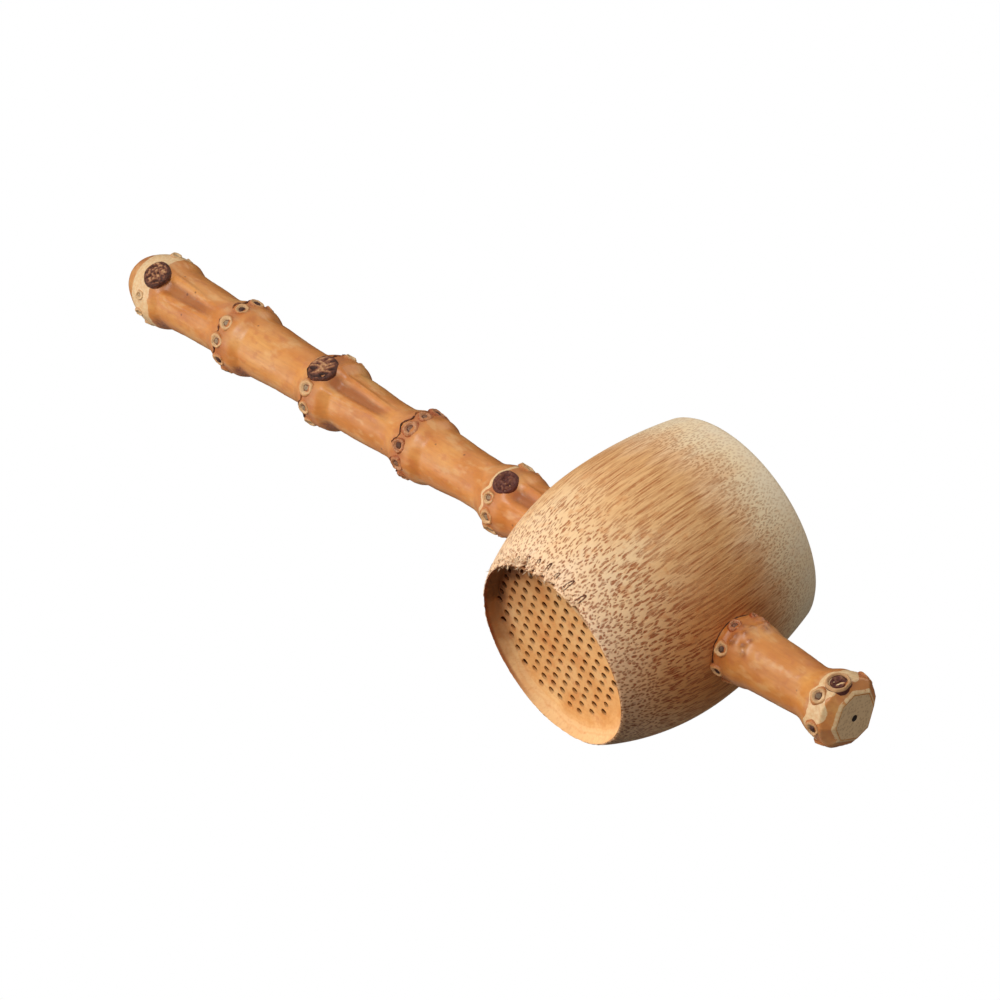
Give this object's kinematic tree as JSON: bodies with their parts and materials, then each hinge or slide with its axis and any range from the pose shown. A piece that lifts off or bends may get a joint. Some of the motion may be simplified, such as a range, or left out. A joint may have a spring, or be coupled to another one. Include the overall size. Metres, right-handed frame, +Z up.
{
  "type": "tea strainer",
  "caption": "Turned bamboo culm bowl with a drilled natural septum, held by a long rhizome handle and a short rhizome rest on the far side.",
  "frame": {"origin": "centre of the flat foot ring on which the bowl stands", "axes": "+Z up the bowl's axis from the foot to the mouth, handle towards -X, rest stub towards +X, +Y completes the right-handed frame"},
  "size_m": [0.2303, 0.054, 0.051],
  "materials": {
    "culm": "turned bare bamboo, satin, brown fibre flecks",
    "septum": "bare bamboo, drilled",
    "rhizome": "polished bamboo rhizome, glossy",
    "root_scar": "ground root ends, pale rims and dark cores",
    "bud_scar": "rough dark fibre"
  },
  "bodies": {
    "root": {"bowl_shell": "culm", "strainer_septum": "septum", "handle": "rhizome", "handle_roots": "root_scar", "handle_buds": "bud_scar", "rest_stub": "rhizome", "rest_stub_roots": "root_scar", "rest_stub_buds": "bud_scar"}
  },
  "joints": []
}
